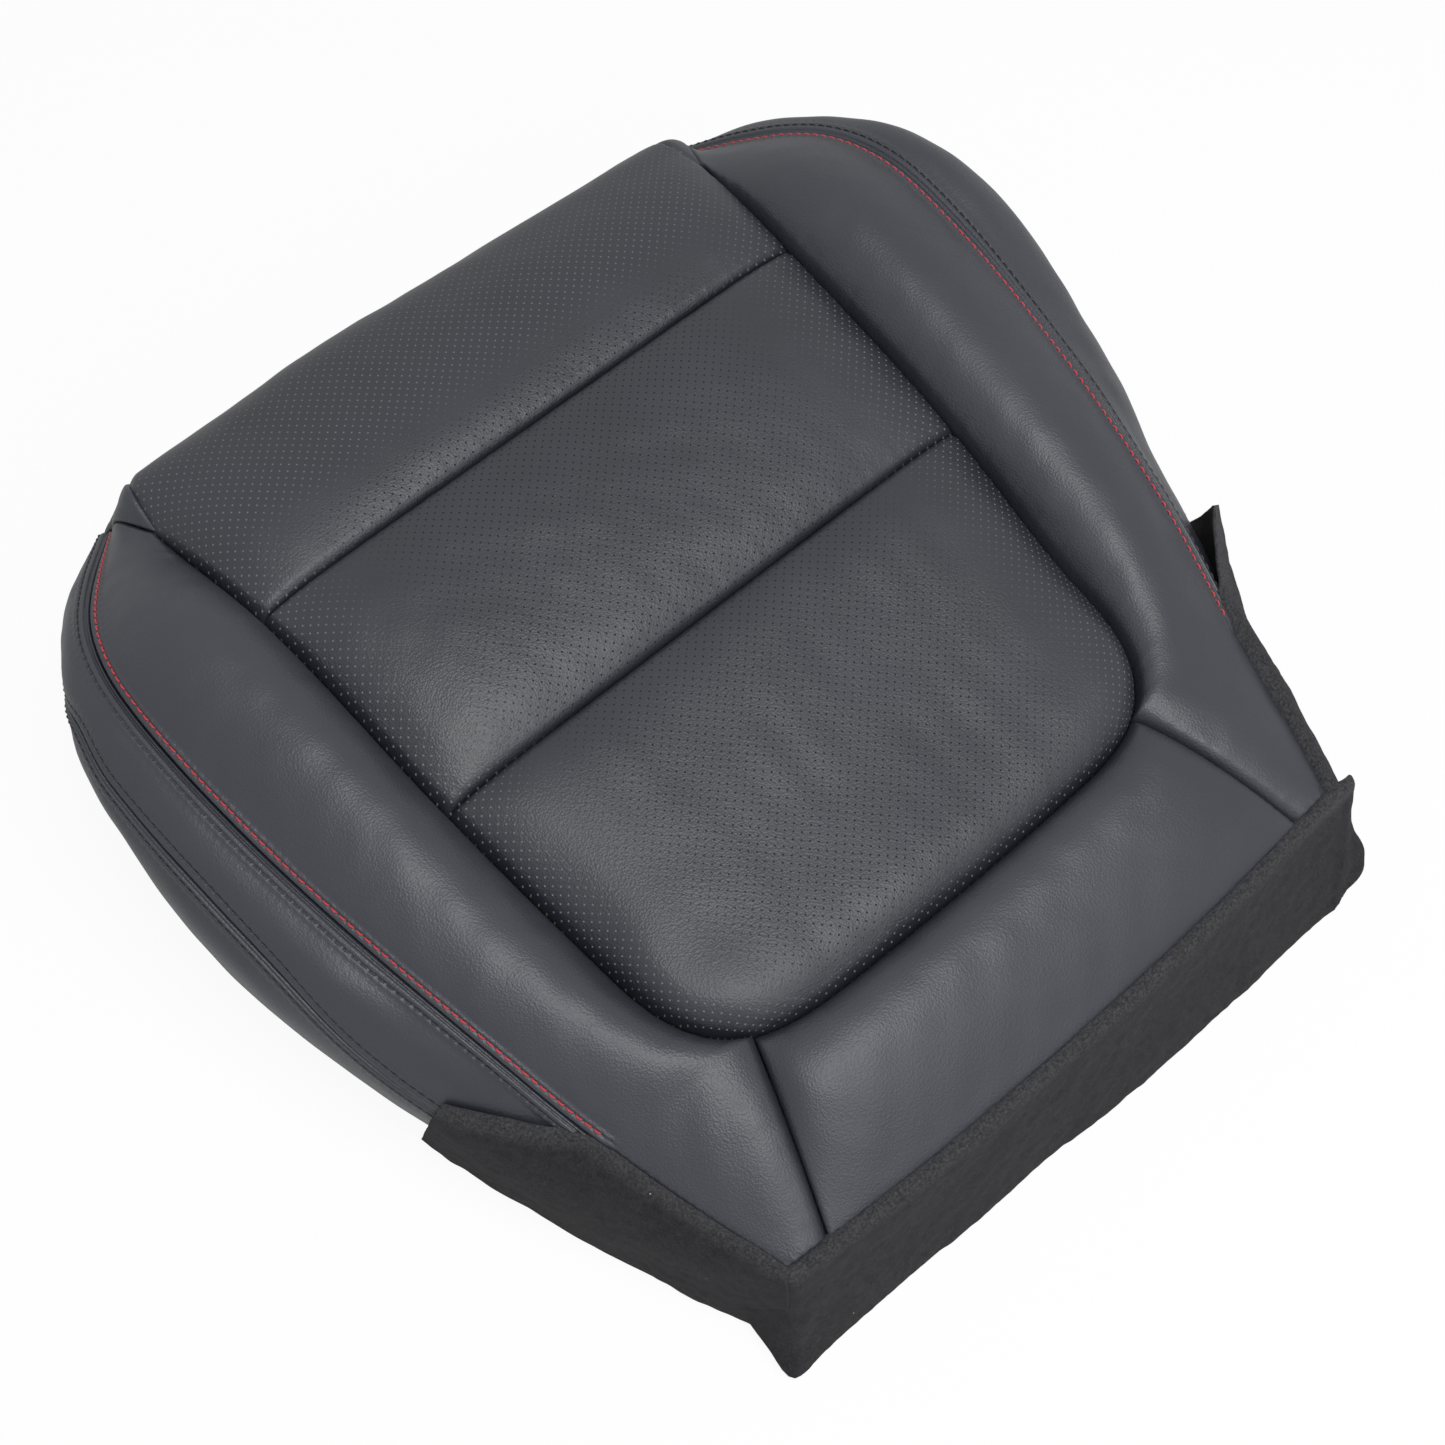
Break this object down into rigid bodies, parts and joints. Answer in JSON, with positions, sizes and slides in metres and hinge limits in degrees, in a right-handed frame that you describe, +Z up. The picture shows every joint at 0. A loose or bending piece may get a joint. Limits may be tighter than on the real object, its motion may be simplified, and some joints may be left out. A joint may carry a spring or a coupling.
{
  "type": "car seat cushion",
  "caption": "Bolstered car front-seat bottom cushion in sewn leather with a perforated insert, contrast-stitched bolsters, and felt tuck flaps hinged on the rear and side hems.",
  "frame": {"origin": "centre of the bounding box on the surface that the foam's flat underside stands on", "axes": "+Z up, -Y towards the seat's front, +X towards the occupant's left side"},
  "size_m": [0.5476, 0.5365, 0.1521],
  "materials": {
    "foam": "matte",
    "perforated_leather": "satin",
    "plain_leather": "satin",
    "felt": "matte",
    "hook_plastic": "matte",
    "wire_steel": "satin"
  },
  "bodies": {
    "cushion": {"foam_bun": "foam", "insert_front_panel": "perforated_leather", "insert_middle_panel": "perforated_leather", "insert_rear_panel": "perforated_leather", "left_bolster_panel": "plain_leather", "right_bolster_panel": "plain_leather", "left_wing_panel": "plain_leather", "right_wing_panel": "plain_leather", "rear_panel": "plain_leather", "front_facing": "plain_leather", "left_upper_side_facing": "plain_leather", "right_upper_side_facing": "plain_leather", "left_lower_side_facing": "plain_leather", "right_lower_side_facing": "plain_leather", "front_hook_strip": "hook_plastic", "left_hook_strip": "hook_plastic", "right_hook_strip": "hook_plastic", "front_listing_wire": "wire_steel", "middle_listing_wire": "wire_steel", "rear_listing_wire": "wire_steel", "left_listing_wire": "wire_steel", "right_listing_wire": "wire_steel", "front_foam_wire": "wire_steel", "middle_foam_wire": "wire_steel", "rear_foam_wire": "wire_steel", "left_foam_wire": "wire_steel", "right_foam_wire": "wire_steel", "hog_rings": "wire_steel"},
    "rear_flap": {"rear_felt_flap": "felt"},
    "left_flap": {"left_felt_flap": "felt"},
    "right_flap": {"right_felt_flap": "felt"}
  },
  "joints": [
    {"name": "rear_flap_fold", "type": "hinge", "parent": "cushion", "child": "rear_flap", "pos_m": [0, 0.24195, 0.0655], "axis": [1, 0, 0], "range_deg": [0, 90], "stiffness_Nm_per_rad": 0.03},
    {"name": "left_flap_fold", "type": "hinge", "parent": "cushion", "child": "left_flap", "pos_m": [0.17367, 0.23347, 0.0655], "axis": [0.2701, -0.9487, 0.1642], "range_deg": [0, 90], "stiffness_Nm_per_rad": 0.02},
    {"name": "right_flap_fold", "type": "hinge", "parent": "cushion", "child": "right_flap", "pos_m": [-0.17367, 0.23347, 0.0655], "axis": [0.2701, 0.9487, -0.1642], "range_deg": [0, 90], "stiffness_Nm_per_rad": 0.02}
  ]
}
